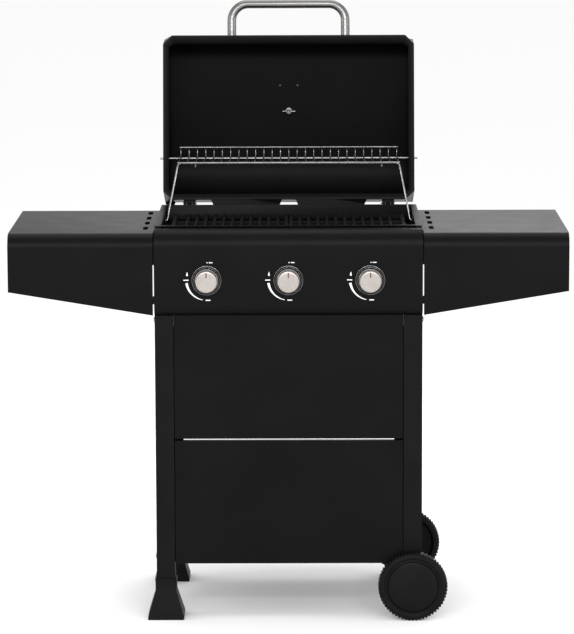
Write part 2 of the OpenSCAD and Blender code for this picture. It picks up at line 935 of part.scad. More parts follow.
// A plate beside the firebox, with tabs under the shelf between its slots.
module shelf_brackets() {
    top = shelf_top_z - sheet;
    low = shelf_top_z - shelf_inner_h + 24;
    y0 = face_y + 70;
    y1 = slot_first + 2 * slot_pitch;
    foot_z = box_top - 89;
    color(soft_black)
        both_sides() {
            block([wall_x, y0, foot_z], [wall_x + 5, y1, foot_z + 5]);
            block([wall_x + 3, y0, foot_z + 4], [wall_x + 5, y1, top]);
            for (i = [0.5, 1.5])
                translate([0, slot_first + i * slot_pitch, 0])
                    block([wall_x + 4, -14, top - 2], [wall_x + 55, 14, top]);
            block([panel_w / 2, face_y + sheet, low], [panel_w / 2 + 14, face_y + 14, low + 16]);
        }
}

// ---------- cart ----------

module leg(s, y, bottom) {
    x = s * leg_x;
    h = leg_w / 2;
    color(black)
        difference() {
            block([x - h, y - h, bottom], [x + h, y + h, leg_top]);
            block([x - h + sheet, y - h + sheet, bottom - 1],
                [x + h - sheet, y + h - sheet, leg_top + 1]);
            if (s > 0)
                turned_y(x, axle_z, y - leg_w, y + leg_w, axle_d / 2);
        }
}

module left_front_leg() { leg(-1, leg_y[0], 20); }
module left_rear_leg() { leg(-1, leg_y[1], 20); }
module right_front_leg() { leg(1, leg_y[0], axle_z - 30); }
module right_rear_leg() { leg(1, leg_y[1], axle_z - 30); }

module cart_feet() {
    sleeve = leg_w + 6;
    color(soft_black)
        for (y = leg_y)
            translate([-leg_x, y, 0])
                difference() {
                    union() {
                        hull() {
                            translate([-foot_w / 2, -foot_w / 2, 0]) cube([foot_w, foot_w, 7]);
                            translate([-foot_w * 0.36, -foot_w * 0.36, 18])
                                cube([foot_w * 0.72, foot_w * 0.72, 1]);
                            translate([-sleeve / 2, -sleeve / 2, foot_h - 28]) cube([sleeve, sleeve, 1]);
                        }
                        translate([-sleeve / 2, -sleeve / 2, foot_h - 30]) cube([sleeve, sleeve, 30]);
                    }
                    translate([-leg_w / 2, -leg_w / 2, 20]) cube([leg_w, leg_w, foot_h]);
                }
}

// A front panel from z0 to z1, with its four edges folded back.
module front_panel(z0, z1) {
    half = leg_x - leg_w / 2 - 1;
    y = leg_y[0] - leg_w / 2 + 2;
    color(black)
        difference() {
            block([-half, y, z0], [half, y + 15, z1]);
            block([-half + sheet, y + sheet, z0 + sheet], [half - sheet, y + 16, z1 - sheet]);
        }
}

module upper_front_panel() { front_panel(panel_slot_z + panel_slot / 2, leg_top); }
module lower_front_panel() { front_panel(cart_bottom_z, panel_slot_z - panel_slot / 2); }

// Rails from leg to leg, and the strips that the front panels are screwed to.
module cart_rails() {
    strip_w = 20;
    strip_y = leg_y[0] - leg_w / 2 + 17.2;
    y0 = leg_y[0] + leg_w / 2;
    y1 = leg_y[1] - leg_w / 2;
    inner = leg_x - leg_w / 2;
    color(black) {
        both_sides()
            for (z = [leg_top - rail, cart_bottom_z + sheet])
                block([leg_x - rail / 2, y0, z], [leg_x + rail / 2, y1, z + rail]);
        block([-inner, leg_y[1] - rail / 2, leg_top - rail], [inner, leg_y[1] + rail / 2, leg_top]);
        both_sides()
            block([inner - strip_w, strip_y, cart_bottom_z],
                [inner, strip_y + sheet, leg_top - rail - 1]);
    }
}

module bottom_shelf() {
    half = leg_x - leg_w / 2;
    y0 = leg_y[0] + leg_w / 2;
    y1 = leg_y[1] + leg_w / 2;
    z = cart_bottom_z + sheet;
    color(black)
        difference() {
            block([-half, y0, z], [half, y1, z + 18]);
            block([-half + sheet, y0 + sheet, z + sheet], [half - sheet, y1 - sheet, z + 19]);
        }
}

// Screw heads on the outer faces of the legs, where the rails meet them.
module cart_screws() {
    x = leg_x + leg_w / 2;
    color(dark_steel)
        both_sides()
            for (y = leg_y, z = [leg_top - rail / 2, cart_bottom_z + sheet + rail / 2])
                translate([x, y, z])
                    rotate([0, 90, 0])
                        rotate_extrude()
                            polygon([[0, 0], [6, 0], [6, 1.2], [4.5, 2.8], [0, 3.2]]);
}

module wheel_axle() {
    color(steel)
        turned_y(leg_x, axle_z, front_wheel_y + 6, rear_wheel_y + wheel_w - 6, axle_d / 2);
}

// Wheels are drawn from their inner side, with the outer side up along Z.
module place_front_wheel() {
    translate([leg_x, front_wheel_y + wheel_w, axle_z]) rotate([90, 0, 0]) children();
}

module place_rear_wheel() {
    translate([leg_x, rear_wheel_y, axle_z]) rotate([-90, 0, 0]) children();
}

cap_r = wheel_d * 0.36;

module wheel() {
    r = wheel_d / 2;
    bore = axle_d / 2 + fit;
    w = wheel_w;
    color(soft_black)
        rotate_extrude($fn = 96)
            polygon([
                [bore, 0], [16, 0], [20, 12], [r - 18, 12], [r - 14, 2], [r - 4, 2], [r, 6],
                [r, w - 6], [r - 4, w - 2], [cap_r + 6, w - 1], [cap_r + 1, w - 5], [bore, w - 5]
            ]);
}

module hub_cap() {
    dome = 4.5;
    big = (cap_r * cap_r + dome * dome) / (2 * dome);
    a = asin(cap_r / big);
    z = 0.5 + dome - big;
    color(black)
        translate([0, 0, wheel_w - 5])
            rotate_extrude($fn = 96)
                polygon(concat(
                    [[0, 0], [cap_r, 0]],
                    [for (i = [8:-1:0]) [big * sin(a * i / 8), z + big * cos(a * i / 8)]]
                ));
}

module front_wheel() { place_front_wheel() wheel(); }
module rear_wheel() { place_rear_wheel() wheel(); }
module front_hub_cap() { place_front_wheel() hub_cap(); }
module rear_hub_cap() { place_rear_wheel() hub_cap(); }

lid_shell();
lid_hinge_leaves();
lid_handle();
handle_washers();
handle_screws();
badge_plate();
thermometer_case();
thermometer_dial();
thermometer_lens();
thermometer_nut();
thermometer_needle();
warming_rack();
rack_support_wire();
firebox();
firebox_cradle();
firebox_hinge_brackets();
hinge_pins();
left_grate();
right_grate();
left_burner();
middle_burner();
right_burner();
left_flame_tamer();
middle_flame_tamer();
right_flame_tamer();
crossover_channel();
igniters();
grease_tray();
grease_tray_rails();
control_panel();
gas_manifold();
gas_valves();
left_valve_sleeve();
middle_valve_sleeve();
right_valve_sleeve();
left_valve_stem();
middle_valve_stem();
right_valve_stem();
left_knob();
middle_knob();
right_knob();
knob_bezels();
left_shelf();
right_shelf();
shelf_brackets();
left_front_leg();
left_rear_leg();
right_front_leg();
right_rear_leg();
cart_feet();
upper_front_panel();
lower_front_panel();
cart_rails();
bottom_shelf();
cart_screws();
wheel_axle();
front_wheel();
rear_wheel();
front_hub_cap();
rear_hub_cap();
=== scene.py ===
# %% [markdown]
# # A gas barbecue grill
# The CAD model is the fixed frame of this scene: sheet metal boxes, wires, knobs and wheels in
# their real places. This lesson gives each of them the edges, wear and finish that the eye
# expects. It loads the frame first, and keeps the CAD box so that the sizes can be compared.

# %% Load the frame
import json
import math

import bmesh
import bpy
from mathutils import Matrix, Vector

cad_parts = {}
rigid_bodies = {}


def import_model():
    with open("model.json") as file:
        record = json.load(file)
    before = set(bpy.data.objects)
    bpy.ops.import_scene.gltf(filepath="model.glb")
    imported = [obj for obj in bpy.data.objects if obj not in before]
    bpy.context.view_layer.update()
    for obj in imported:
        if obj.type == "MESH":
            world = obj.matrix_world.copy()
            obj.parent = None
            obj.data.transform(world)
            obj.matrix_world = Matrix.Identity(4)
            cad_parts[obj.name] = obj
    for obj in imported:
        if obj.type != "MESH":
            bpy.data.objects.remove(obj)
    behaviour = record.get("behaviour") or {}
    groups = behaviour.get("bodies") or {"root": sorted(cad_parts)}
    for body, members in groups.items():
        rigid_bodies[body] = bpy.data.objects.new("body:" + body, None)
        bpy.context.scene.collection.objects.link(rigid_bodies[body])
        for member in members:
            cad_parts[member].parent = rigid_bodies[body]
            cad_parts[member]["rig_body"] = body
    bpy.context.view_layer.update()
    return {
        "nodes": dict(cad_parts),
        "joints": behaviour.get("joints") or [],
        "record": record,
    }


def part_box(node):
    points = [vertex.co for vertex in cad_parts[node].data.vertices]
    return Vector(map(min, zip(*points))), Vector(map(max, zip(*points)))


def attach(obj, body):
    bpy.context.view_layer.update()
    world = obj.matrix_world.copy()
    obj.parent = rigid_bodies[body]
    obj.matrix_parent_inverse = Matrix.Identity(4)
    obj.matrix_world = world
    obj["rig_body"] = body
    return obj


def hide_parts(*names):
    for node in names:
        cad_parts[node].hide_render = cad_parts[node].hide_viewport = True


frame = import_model()
nodes = frame["nodes"]
joints = {j["name"]: j for j in frame["joints"]}
slot_of = {part["node"]: part["material_slot"] for part in frame["record"]["subparts"]}
MM = 0.001

# %% [markdown]
# ## Camera
# The camera stands 7.2 m in front of the control panel at a standing person's eye height and
# looks slightly down through a long lens, so the tops of the shelves show as thin bands. Yaw,
# pitch and roll are turned into three axes, which are the columns of the camera's matrix.

# %% Camera
CAMERA_AT = (0.0281, -7.48537, 1.77674)
YAW, PITCH, ROLL = (math.radians(a) for a in (-0.249, 8.793, -0.184))

forward = Vector((math.sin(YAW) * math.cos(PITCH), math.cos(YAW) * math.cos(PITCH), -math.sin(PITCH)))
level = Vector((math.cos(YAW), -math.sin(YAW), 0))
upward = level.cross(forward)
right = level * math.cos(ROLL) + upward * math.sin(ROLL)
up = upward * math.cos(ROLL) - level * math.sin(ROLL)

camera = bpy.data.objects.new("camera", bpy.data.cameras.new("camera"))
bpy.context.scene.collection.objects.link(camera)
camera.data.lens = 193.06
camera.data.sensor_width = 36
camera.matrix_world = Matrix.Translation(CAMERA_AT) @ Matrix((right, up, -forward)).transposed().to_4x4()
bpy.context.scene.camera = camera

# %% [markdown]
# ## Floor and light
# Black paint shows almost nothing but reflections, so the room matters more than the lamps. The
# floor and the surroundings are pale. A wide box hangs in front, above the eye, so only faces that
# lean back a little mirror it: the rounded noses, the rim and the inside of the lid. Two tall
# side boxes lift the handle, the wires and the wheels, and small ones hang overhead and behind.

# %% Helpers for colour and shader nodes
def linear(hex_colour):
    """An sRGB hex colour as linear RGBA."""
    parts = [int(hex_colour[i:i + 2], 16) / 255 for i in (1, 3, 5)]
    return tuple(c / 12.92 if c <= 0.04045 else ((c + 0.055) / 1.055) ** 2.4 for c in parts) + (1.0,)


def add(tree, kind, inputs=None, **settings):
    """Adds one shader node; an input is either a value or another node's output."""
    made = tree.nodes.new("ShaderNode" + kind)
    for key, value in settings.items():
        setattr(made, key, value)
    for socket, source in (inputs or {}).items():
        if isinstance(source, bpy.types.NodeSocket):
            tree.links.new(source, made.inputs[socket])
        else:
            made.inputs[socket].default_value = source
    return made


# %% Floor, surroundings and lamps
bpy.context.scene.view_settings.view_transform = "Standard"
world = bpy.data.worlds.new("studio")
bpy.context.scene.world = world
world.use_nodes = True
world.node_tree.nodes["Background"].inputs["Color"].default_value = linear("#ffffff")
world.node_tree.nodes["Background"].inputs["Strength"].default_value = 1.0

bm = bmesh.new()
bmesh.ops.create_circle(bm, cap_ends=True, radius=40, segments=96)
floor = bpy.data.objects.new("floor", bpy.data.meshes.new("floor"))
bm.to_mesh(floor.data)
bm.free()
bpy.context.scene.collection.objects.link(floor)
paper = bpy.data.materials.new("matt_backdrop_paper")
paper.use_nodes = True
shader = paper.node_tree.nodes["Principled BSDF"]
shader.inputs["Base Color"].default_value = linear("#fafafa")
shader.inputs["Roughness"].default_value = 0.9
shader.inputs["Specular IOR Level"].default_value = 0.1
floor.data.materials.append(paper)


def softbox(name, place, target, size, power):
    """An area lamp of the given width and height that faces a point."""
    lamp = bpy.data.objects.new(name, bpy.data.lights.new(name, "AREA"))
    lamp.data.shape = "RECTANGLE"
    lamp.data.size, lamp.data.size_y = size
    lamp.data.energy = power
    lamp.location = place
    lamp.visible_camera = False
    lamp.rotation_euler = (Vector(target) - Vector(place)).to_track_quat("-Z", "Y").to_euler()
    bpy.context.scene.collection.objects.link(lamp)


softbox("front_box", (0, -6.0, 3.1), (0, 0, 0.9), (6.0, 1.6), 290)
softbox("overhead_box", (0, 0.6, 3.6), (0, 0.1, 0.8), (2.4, 1.2), 25)
softbox("left_box", (-3.4, -0.6, 1.4), (0, 0, 0.8), (0.6, 2.4), 22)
softbox("right_box", (3.4, -0.6, 1.4), (0, 0, 0.8), (0.6, 2.4), 22)
softbox("rear_box", (0.6, 3.6, 2.6), (0, 0, 0.9), (2.2, 1.0), 30)

# %% [markdown]
# ## Finishes
# Every finish starts from the real material. A material is a Principled shader whose colour,
# roughness and bump vary a little with a noise read from Object coordinates, because real
# surfaces are never even. The spacing of each pattern is given in millimetres. A pattern that is
# finer than the eye can tell at this distance is drawn a little coarser than the real one.

# %% Helpers for materials
def material(name, colour, roughness, metallic=0.0, **values):
    """A Principled material with plain values; returns it with its tree and shader."""
    made = bpy.data.materials.new(name)
    made.use_nodes = True
    bsdf = made.node_tree.nodes["Principled BSDF"]
    bsdf.inputs["Base Color"].default_value = linear(colour)
    bsdf.inputs["Roughness"].default_value = roughness
    bsdf.inputs["Metallic"].default_value = metallic
    for socket, value in values.items():
        bsdf.inputs[socket.replace("_", " ")].default_value = value
    return made, made.node_tree, bsdf


def noise(tree, spacing_mm, stretch=(1, 1, 1), detail=3.0):
    """A noise with the given spacing; stretch above 1 lengthens it along that axis."""
    place = add(tree, "TexCoord").outputs["Object"]
    scale = tuple(1.0 / s for s in stretch)
    mapped = add(tree, "Mapping", {"Vector": place, "Scale": scale})
    return add(tree, "TexNoise", {
        "Vector": mapped.outputs["Vector"], "Scale": 1000.0 / spacing_mm, "Detail": detail,
    }).outputs["Fac"]


def vary(tree, bsdf, socket, source, low, high):
    """Drives a number of the shader between two values with a noise."""
    ramp = add(tree, "MapRange", {
        "Value": source, "From Min": 0.3, "From Max": 0.7, "To Min": low, "To Max": high,
    })
    tree.links.new(ramp.outputs["Result"], bsdf.inputs[socket])


def tint(tree, bsdf, source, dark, light):
    """Mixes two colours with a noise."""
    ramp = add(tree, "ValToRGB", {"Fac": source})
    ramp.color_ramp.elements[0].position, ramp.color_ramp.elements[1].position = 0.35, 0.65
    ramp.color_ramp.elements[0].color = linear(dark)
    ramp.color_ramp.elements[1].color = linear(light)
    tree.links.new(ramp.outputs["Color"], bsdf.inputs["Base Color"])


def relief(tree, bsdf, source, depth_mm, strength=0.5):
    """Turns a noise into bumps of a real depth."""
    bump = add(tree, "Bump", {"Height": source, "Distance": depth_mm * MM, "Strength": strength})
    tree.links.new(bump.outputs["Normal"], bsdf.inputs["Normal"])


# %% [markdown]
# ### Painted steel
# The sheet metal is powder coated: a satin black polyester that is baked on, with a faint orange
# peel of about 2 mm and soft reflections. The frame under it has a flatter coat. The grates carry
# matt porcelain enamel over rough cast iron.

# %% Painted and enamelled finishes
finish = {}

satin, tree, bsdf = material("satin_black_powder_coat", "#080809", 0.42, IOR=1.16)
vary(tree, bsdf, "Roughness", noise(tree, 60), 0.4, 0.45)
tint(tree, bsdf, noise(tree, 140), "#070708", "#0a0a0b")
relief(tree, bsdf, noise(tree, 2.2), 0.03, 0.25)
finish["black_enamel"] = satin

frame_coat, tree, bsdf = material("matt_black_powder_coat", "#0b0b0c", 0.55, IOR=1.17)
vary(tree, bsdf, "Roughness", noise(tree, 50), 0.5, 0.62)
tint(tree, bsdf, noise(tree, 90), "#0a0a0b", "#0e0e0f")
relief(tree, bsdf, noise(tree, 1.6), 0.04, 0.3)
finish["black_frame"] = frame_coat

iron, tree, bsdf = material("matt_enamelled_cast_iron", "#0b0b0b", 0.62, IOR=1.2)
vary(tree, bsdf, "Roughness", noise(tree, 14), 0.5, 0.75)
tint(tree, bsdf, noise(tree, 25), "#090909", "#100f0f")
relief(tree, bsdf, noise(tree, 1.8, detail=5), 0.15, 0.4)
finish["cast_iron"] = iron

# %% [markdown]
# ### Bare metal
# The handle is a brushed stainless tube, so its noise is stretched along the tube. The wires are
# nickel and chrome plated, which is brighter and smoother. Screws, pins and the manifold are
# zinc plated, with a soft cloudy grey, and the valves are turned brass.

# %% Metal finishes
steel, tree, bsdf = material("brushed_stainless_steel", "#737271", 0.3, 1.0)
vary(tree, bsdf, "Roughness", noise(tree, 1.5, (60, 1, 1)), 0.22, 0.4)
tint(tree, bsdf, noise(tree, 2.5, (60, 1, 1)), "#6b6a69", "#7b7a79")
relief(tree, bsdf, noise(tree, 1.2, (60, 1, 1)), 0.02, 0.3)
finish["brushed_stainless"] = steel

chrome, tree, bsdf = material("bright_plated_wire", "#838385", 0.24, 1.0)
vary(tree, bsdf, "Roughness", noise(tree, 12), 0.18, 0.3)
tint(tree, bsdf, noise(tree, 30), "#79797b", "#8f8f91")
finish["chrome_wire"] = chrome

zinc, tree, bsdf = material("zinc_plated_steel", "#a3a4a6", 0.4, 1.0)
vary(tree, bsdf, "Roughness", noise(tree, 8), 0.3, 0.52)
tint(tree, bsdf, noise(tree, 6), "#86888b", "#b3b3b2")
relief(tree, bsdf, noise(tree, 1.2), 0.03, 0.3)
finish["zinc_steel"] = zinc

brass, tree, bsdf = material("turned_brass", "#c9a45c", 0.32, 1.0)
vary(tree, bsdf, "Roughness", noise(tree, 1.2, (8, 1, 8)), 0.24, 0.42)
tint(tree, bsdf, noise(tree, 10), "#b08b46", "#d4b271")
finish["brass"] = brass

# %% [markdown]
# ### Plastics, glass and print
# The knobs are ABS with a satin nickel plating whose turned rings follow the knob, so they read
# an attribute that holds each point's place from the knob's own axis. Wheels and feet are
# moulded polypropylene with a slightly waxy sheen. The marks on the panel are screen printed.

# %% Plastic, glass and printed finishes
plated, tree, bsdf = material("satin_plated_knob", "#a29c97", 0.36, 0.7)
rings = add(tree, "TexWave", {
    "Vector": add(tree, "Attribute", attribute_name="turned").outputs["Vector"],
    "Scale": 180.0, "Distortion": 0.4, "Detail": 2.0, "Detail Scale": 2.0,
}, wave_type="RINGS", rings_direction="Z").outputs["Fac"]
vary(tree, bsdf, "Roughness", rings, 0.3, 0.4)
tint(tree, bsdf, noise(tree, 16), "#9e9893", "#a6a09b")
relief(tree, bsdf, rings, 0.02, 0.2)
finish["knob_silver"] = plated

# The same black finish is also laid in the knob bezels' troughs as painted shade.
moulded, tree, bsdf = material("moulded_black_polypropylene_and_painted_trough_shade", "#0b0b0c", 0.46, IOR=1.18)
vary(tree, bsdf, "Roughness", noise(tree, 20), 0.4, 0.55)
tint(tree, bsdf, noise(tree, 30), "#0a0a0b", "#0e0e0f")
relief(tree, bsdf, noise(tree, 1.4), 0.05, 0.35)
finish["black_plastic"] = moulded

glass, tree, bsdf = material("clear_soda_glass", "#ffffff", 0.03, IOR=1.5, Transmission_Weight=1.0)
vary(tree, bsdf, "Roughness", noise(tree, 30), 0.02, 0.06)
finish["glass"] = glass

card, tree, bsdf = material("printed_dial_card", "#e9e8e2", 0.6)
tint(tree, bsdf, noise(tree, 3), "#e2e1da", "#efeee9")
finish["dial_white"] = card

red, tree, bsdf = material("red_lacquer", "#b3201a", 0.35)
vary(tree, bsdf, "Roughness", noise(tree, 4), 0.28, 0.45)
finish["needle_red"] = red

ceramic, tree, bsdf = material("glazed_ceramic", "#e6e2d6", 0.2)
tint(tree, bsdf, noise(tree, 5), "#dcd7c9", "#efece2")
finish["ceramic_white"] = ceramic

ink, tree, bsdf = material("white_screen_print", "#dcdcda", 0.5)
vary(tree, bsdf, "Roughness", noise(tree, 3), 0.42, 0.6)
tint(tree, bsdf, noise(tree, 2), "#cfcfcd", "#e4e4e2")

maroon, tree, bsdf = material("maroon_pad_print", "#4a1216", 0.45)
tint(tree, bsdf, noise(tree, 2), "#3d0e12", "#571a1e")

black_ink, tree, bsdf = material("black_dial_print", "#1b1b1b", 0.5)
tint(tree, bsdf, noise(tree, 2), "#161616", "#242424")
print("finishes:", sorted(finish))

# %% [markdown]
# ## Pieces from the CAD nodes
# A CAD node is loose triangles with knife-sharp edges. Real folded sheet has a small radius on
# each edge, and that radius is what catches the light. So a copy of the node is merged, its flat
# triangles are joined into whole faces, and a Bevel modifier rounds what is left.

# %% Helpers for pieces
def as_piece(bm, name, look, body, smooth=40):
    """Turns a bmesh into an object with smooth shading that rides on a body."""
    mesh = bpy.data.meshes.new(name)
    bm.to_mesh(mesh)
    bm.free()
    for m in look if isinstance(look, list) else [look]:
        mesh.materials.append(m)
    mesh.shade_smooth()
    mesh.set_sharp_from_angle(angle=math.radians(smooth))
    piece = bpy.data.objects.new(name, mesh)
    bpy.context.scene.collection.objects.link(piece)
    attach(piece, body)
    return piece


def round_edges(piece, radius_mm, segments=2, angle=32):
    """Rounds every edge that turns by more than the angle."""
    bevel = piece.modifiers.new("edges", "BEVEL")
    bevel.width = radius_mm * MM
    bevel.segments = segments
    bevel.limit_method = "ANGLE"
    bevel.angle_limit = math.radians(angle)
    bevel.harden_normals = True
    bevel.use_clamp_overlap = True


def soften(bm, offset_mm):
    """Bevels every edge of a small block."""
    bmesh.ops.bevel(bm, geom=bm.edges, offset=offset_mm * MM, segments=2, profile=0.5,
                    affect="EDGES", material=-1)


def finished(node, radius_mm):
    """A merged copy of a CAD node with rounded edges and the finish of its slot."""
    bm = bmesh.new()
    bm.from_mesh(nodes[node].data)
    bmesh.ops.remove_doubles(bm, verts=bm.verts, dist=0.002 * MM)
    bmesh.ops.dissolve_limit(bm, angle_limit=math.radians(0.5), verts=bm.verts, edges=bm.edges)
    slot = slot_of[node]
    piece = as_piece(bm, node + "_finished", finish[slot], nodes[node]["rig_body"])
    if radius_mm:
        round_edges(piece, radius_mm)
    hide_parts(node)
    return piece


# %% [markdown]
# ## Folded and welded sheet
# Panels, shelves and the firebox are 1.5 mm steel, so an outer radius of about half a
# millimetre is the most that both faces of a sheet can share. The square tubes are drawn with a
# larger radius, and the grates are cast, with soft edges all over.

# %% Sheet, tube and cast pieces
EDGE_MM = {
    "control_panel": 0.7, "left_shelf": 0.7, "right_shelf": 0.7, "firebox": 0.6,
    "upper_front_panel": 0.6, "lower_front_panel": 0.6, "bottom_shelf": 0.6,
    "left_front_leg": 0.6, "left_rear_leg": 0.6, "right_front_leg": 0.6, "right_rear_leg": 0.6,
    "cart_rails": 1.5, "cart_feet": 2.0, "firebox_cradle": 0.5, "shelf_brackets": 0.5,
    "firebox_hinge_brackets": 0.5, "lid_hinge_leaves": 0.4,
    "left_grate": 1.2, "right_grate": 1.2,
    "left_flame_tamer": 0.4, "middle_flame_tamer": 0.4, "right_flame_tamer": 0.4,
    "crossover_channel": 0.4, "grease_tray": 0.5, "grease_tray_rails": 0.4,
    "badge_plate": 0.3, "thermometer_case": 0.8, "thermometer_dial": 0.1, "thermometer_nut": 0.4,
    "thermometer_lens": 0.3, "thermometer_needle": 0.1,
    "handle_washers": 0.6, "handle_screws": 0.5, "hinge_pins": 0.3, "cart_screws": 0.3,
    "wheel_axle": 0.4, "gas_manifold": 0.5, "gas_valves": 0.5, "igniters": 0.0,
    "left_burner": 0.4, "middle_burner": 0.4, "right_burner": 0.4,
    "left_valve_sleeve": 0.3, "middle_valve_sleeve": 0.3, "right_valve_sleeve": 0.3,
    "left_valve_stem": 0.4, "middle_valve_stem": 0.4, "right_valve_stem": 0.4,
    "lid_handle": 0.0, "warming_rack": 0.0,
}
for node, radius in EDGE_MM.items():
    finished(node, radius)
print("finished from CAD:", len(EDGE_MM))

# %% [markdown]
# ## The lid
# The lid is one deep-drawn and folded shell: a long curve at the back, a sloping roof, a tight
# curve at the front, corners cut across, and a flange turned in round its mouth. A block with
# four corners becomes that shape with bevels, one for each bend. The mouth is inset for the
# flange and opened, and Solidify gives the steel its thickness.

# %% Lid shell
LID_HALF = 283.5
LID_REAR, LID_FRONT, LID_RIM = -6.6, -378.6, -3.0
ROOF_REAR, ROOF_FRONT = 210.8, 118.05
SIDE_FLANGE, FRONT_FLANGE = 13, 20
hinge = Vector(joints["lid_hinge"]["pos_m"])
swing_open = Matrix.Translation(hinge) @ Matrix.Rotation(math.radians(-100), 4, "X")


def straight_edges(bm, test):
    """The edges whose two ends both pass the test."""
    return [e for e in bm.edges if all(test(v.co / MM) for v in e.verts)]


def bend(bm, edges, offset_mm, segments):
    """Rolls or folds the given edges over."""
    bmesh.ops.bevel(bm, geom=edges, offset=offset_mm * MM, offset_type="OFFSET", segments=segments,
                    profile=0.5, affect="EDGES", material=-1, clamp_overlap=False)


bm = bmesh.new()
corners = [(LID_REAR, LID_RIM), (LID_REAR, ROOF_REAR), (LID_FRONT, ROOF_FRONT), (LID_FRONT, LID_RIM)]
side = bm.faces.new([bm.verts.new((-LID_HALF * MM, y * MM, z * MM)) for y, z in corners])
grown = bmesh.ops.extrude_face_region(bm, geom=[side])
moved = [g for g in grown["geom"] if isinstance(g, bmesh.types.BMVert)]
bmesh.ops.translate(bm, verts=moved, vec=(2 * LID_HALF * MM, 0, 0))
bmesh.ops.recalc_face_normals(bm, faces=bm.faces)


def near(a, b):
    """Whether two lengths in mm are the same."""
    return abs(a - b) < 0.01


bend(bm, straight_edges(bm, lambda p: near(p.z, ROOF_REAR)), 108.8, 16)
bend(bm, straight_edges(bm, lambda p: near(p.z, ROOF_FRONT)), 42.97, 10)
upright = [e for e in straight_edges(bm, lambda p: near(p.y, LID_REAR) or near(p.y, LID_FRONT))
           if near(e.verts[0].co.x, e.verts[1].co.x) and e.calc_length() > 50 * MM
           and abs(e.verts[0].co.y - e.verts[1].co.y) < 1e-5]
bend(bm, upright, 20, 1)
sides = [e for e in bm.edges
         if all(near(abs(v.co.x / MM), LID_HALF) and v.co.z / MM > LID_RIM + 1 for v in e.verts)
         and max(abs(f.normal.x) for f in e.link_faces) > 0.99
         and min(abs(f.normal.x) for f in e.link_faces) < 0.01]
bend(bm, sides, 26, 6)
bmesh.ops.remove_doubles(bm, verts=bm.verts, dist=0.01 * MM)
mouth = [f for f in bm.faces if all(near(v.co.z / MM, LID_RIM) for v in f.verts)]
bmesh.ops.inset_region(bm, faces=mouth, thickness=SIDE_FLANGE * MM, use_even_offset=True)
bmesh.ops.delete(bm, geom=mouth, context="FACES")
front = [v for v in bm.verts if v.is_boundary and near(v.co.y / MM, LID_FRONT + SIDE_FLANGE)]
bmesh.ops.translate(bm, verts=front, vec=(0, (FRONT_FLANGE - SIDE_FLANGE) * MM, 0))
bmesh.ops.transform(bm, matrix=swing_open, verts=bm.verts)
lid = as_piece(bm, "lid_shell_drawn", finish["black_enamel"], "lid", smooth=25)
round_edges(lid, 2.5, 3, 24)
wall = lid.modifiers.new("sheet", "SOLIDIFY")
wall.thickness, wall.offset, wall.use_even_offset = 1.5 * MM, -1, True
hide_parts("lid_shell")
print("lid faces:", len(lid.data.polygons))

# %% Lid stops
bm = bmesh.new()
for side in (-1, 1):
    corners = [(-81, -8.6), (81, -8.6), (71, 13.4), (-71, 13.4)]
    verts = [bm.verts.new(((side * 95.5 + x) * MM, y * MM, LID_RIM * MM)) for x, y in corners]
    bm.faces.new(verts)
bmesh.ops.solidify(bm, geom=bm.faces, thickness=-1.5 * MM)
bmesh.ops.recalc_face_normals(bm, faces=bm.faces)
bmesh.ops.transform(bm, matrix=swing_open, verts=bm.verts)
stops = as_piece(bm, "lid_stop_tabs", finish["black_enamel"], "lid")
round_edges(stops, 0.5)

# %% [markdown]
# ## Turned parts
# Knobs, bezels, wheels and hub caps are all round, so one helper spins a profile, given as radius
# and height, round an axis. The spin closes on itself, the points on the axis are merged, and
# the normals are then made to face outwards.

# %% Helper for turned parts
def turned(profiles, place, axis, steps=72):
    """Spins one or more closed or axis-to-axis profiles; heights run along the axis."""
    bm = bmesh.new()
    for profile, closed in profiles:
        verts = [bm.verts.new((r * MM, 0, h * MM)) for r, h in profile]
        pairs = list(zip(verts, verts[1:])) + ([(verts[-1], verts[0])] if closed else [])
        edges = [bm.edges.new(pair) for pair in pairs]
        bmesh.ops.spin(bm, geom=verts + edges, cent=(0, 0, 0), axis=(0, 0, 1), dvec=(0, 0, 0),
                       angle=math.tau, steps=steps, use_merge=True)
    bmesh.ops.remove_doubles(bm, verts=bm.verts, dist=0.005 * MM)
    bmesh.ops.recalc_face_normals(bm, faces=bm.faces)
    layer = bm.verts.layers.float_vector.new("turned")
    for v in bm.verts:
        v[layer] = v.co.copy()
    turn = Vector((0, 0, 1)).rotation_difference(Vector(axis)).to_matrix().to_4x4()
    bmesh.ops.transform(bm, matrix=Matrix.Translation(place) @ turn, verts=bm.verts)
    return bm


# %% [markdown]
# ## Knobs and bezels
# Each knob is a plated cap: a narrow skirt, a gently tapering side, a rolled edge and a face that
# is slightly domed, with a printed line that points to the setting. It stands in a bezel of two
# bright ridges; the trough between them is given the black plastic finish as painted shade.

# %% Knobs
def rounded(points, radius_mm):
    """Replaces the inner corners of a profile by short arcs."""
    out = [points[0]]
    for a, b, c in zip(points, points[1:], points[2:]):
        b = Vector(b)
        u, w = (Vector(a) - b), (Vector(c) - b)
        cut = min(radius_mm, u.length * 0.45, w.length * 0.45)
        p, q = b + u.normalized() * cut, b + w.normalized() * cut
        out += [tuple(p.lerp(b, t).lerp(b.lerp(q, t), t)) for t in (0, 0.25, 0.5, 0.75, 1)]
    return out + [points[-1]]


